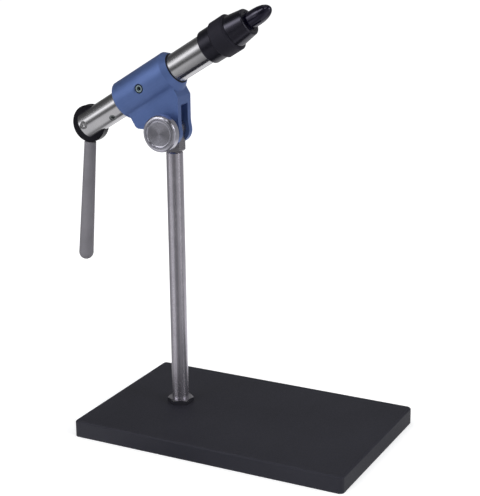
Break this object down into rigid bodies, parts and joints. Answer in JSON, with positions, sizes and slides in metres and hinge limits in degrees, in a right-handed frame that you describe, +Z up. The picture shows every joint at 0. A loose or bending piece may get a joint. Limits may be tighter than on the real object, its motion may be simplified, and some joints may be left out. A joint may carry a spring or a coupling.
{
  "type": "fly tying vise",
  "caption": "Rotary fly tying vise on a flat base plate: a cam lever draws two bullet-shaped jaws into a tapered collar, in a barrel that spins in a tilting head.",
  "frame": {"origin": "centre of the base plate's underside", "axes": "+X along the plate towards the jaws, +Z up along the stem, -Y towards the knob's side"},
  "size_m": [0.1902, 0.102, 0.2416],
  "materials": {
    "base_plate": "satin black powder coat on a flat steel plate",
    "base_screw": "black oxide cap screw",
    "jam_nut": "bright turned stainless nut",
    "stem": "stainless rod with a fine turned grain",
    "stem_head": "machined stainless block",
    "head_block": "blue anodised, finely blasted",
    "front_bushing": "black bearing plastic",
    "rear_bushing": "black bearing plastic",
    "thrust_washer": "plain bronze washer",
    "drag_screw": "dark steel socket set screw",
    "drag_pad": "white nylon pad",
    "knob_washer": "plain stainless washer",
    "pivot_knob": "turned stainless with rings on its face",
    "pivot_screw": "stainless screw",
    "barrel": "polished stainless with a fine turned grain",
    "guide_screw": "dark steel set screw",
    "cam_pivot_pin": "ground steel pin",
    "return_spring": "steel spring wire",
    "cam_disc": "satin black steel",
    "lever": "matte bead-blasted grey metal",
    "drawbar": "turned steel rod",
    "cam_pin": "hard steel pin",
    "jaw_hinge_pin": "hard steel pin",
    "jaw_near": "blued black tool steel with a soft polish",
    "jaw_far": "blued black tool steel with a soft polish",
    "jaw_spring": "steel spring wire",
    "lock_ring": "satin black steel",
    "adjusting_collar": "satin black steel"
  },
  "bodies": {
    "stand": {"base_plate": "base_plate", "base_screw": "base_screw", "jam_nut": "jam_nut", "stem": "stem", "stem_head": "stem_head"},
    "head": {"head_block": "head_block", "front_bushing": "front_bushing", "rear_bushing": "rear_bushing", "thrust_washer": "thrust_washer", "drag_pad": "drag_pad", "knob_washer": "knob_washer"},
    "drag": {"drag_screw": "drag_screw"},
    "knob": {"pivot_knob": "pivot_knob", "pivot_screw": "pivot_screw"},
    "spindle": {"barrel": "barrel", "guide_screw": "guide_screw", "cam_pivot_pin": "cam_pivot_pin", "return_spring": "return_spring"},
    "cam": {"cam_disc": "cam_disc", "lever": "lever"},
    "draw": {"drawbar": "drawbar", "cam_pin": "cam_pin", "jaw_hinge_pin": "jaw_hinge_pin"},
    "near_jaw": {"jaw_near": "jaw_near", "jaw_spring": "jaw_spring"},
    "far_jaw": {"jaw_far": "jaw_far"},
    "ring": {"lock_ring": "lock_ring"},
    "collar": {"adjusting_collar": "adjusting_collar"}
  },
  "joints": [
    {"name": "head_tilt", "type": "hinge", "parent": "stand", "child": "head", "pos_m": [-0.0419, 0, 0.1715], "axis": [0, -1, 0], "range_deg": [-31.5, 28.5]},
    {"name": "knob_turn", "type": "hinge", "parent": "head", "child": "knob", "pos_m": [-0.0419, 0, 0.1715], "axis": [0, -1, 0], "continuous": true},
    {"name": "drag_turn", "type": "hinge", "parent": "head", "child": "drag", "pos_m": [-0.05729, -0.0095, 0.19432], "axis": [0, -1, 0], "continuous": true},
    {"name": "barrel_spin", "type": "hinge", "parent": "head", "child": "spindle", "pos_m": [-0.05627, 0, 0.19495], "axis": [0.8526, 0, 0.5225], "continuous": true},
    {"name": "lever_throw", "type": "hinge", "parent": "spindle", "child": "cam", "pos_m": [-0.09643, 0, 0.17034], "axis": [0, 1, 0], "range_deg": [0, 90]},
    {"name": "drawbar_slide", "type": "slide", "parent": "spindle", "child": "draw", "axis": [0.8526, 0, 0.5225], "range_m": [0, 0.0022]},
    {"name": "jaw_near_swing", "type": "hinge", "parent": "draw", "child": "near_jaw", "pos_m": [-0.01568, 0, 0.21982], "axis": [0.5225, 0, -0.8526], "range_deg": [0, 1.3]},
    {"name": "jaw_far_swing", "type": "hinge", "parent": "draw", "child": "far_jaw", "pos_m": [-0.01568, 0, 0.21982], "axis": [-0.5225, 0, 0.8526], "range_deg": [0, 1.3]},
    {"name": "lock_ring_turn", "type": "hinge", "parent": "spindle", "child": "ring", "pos_m": [-0.01619, 0, 0.21951], "axis": [0.8526, 0, 0.5225], "continuous": true},
    {"name": "collar_turn", "type": "hinge", "parent": "spindle", "child": "collar", "pos_m": [-0.00511, 0, 0.2263], "axis": [0.8526, 0, 0.5225], "continuous": true}
  ],
  "couplings": [
    {"joint": "lever_throw", "follows": "drawbar_slide", "rad_per_m": 713.9},
    {"joint": "jaw_near_swing", "follows": "drawbar_slide", "rad_per_m": 10.31},
    {"joint": "jaw_far_swing", "follows": "drawbar_slide", "rad_per_m": 10.31}
  ]
}
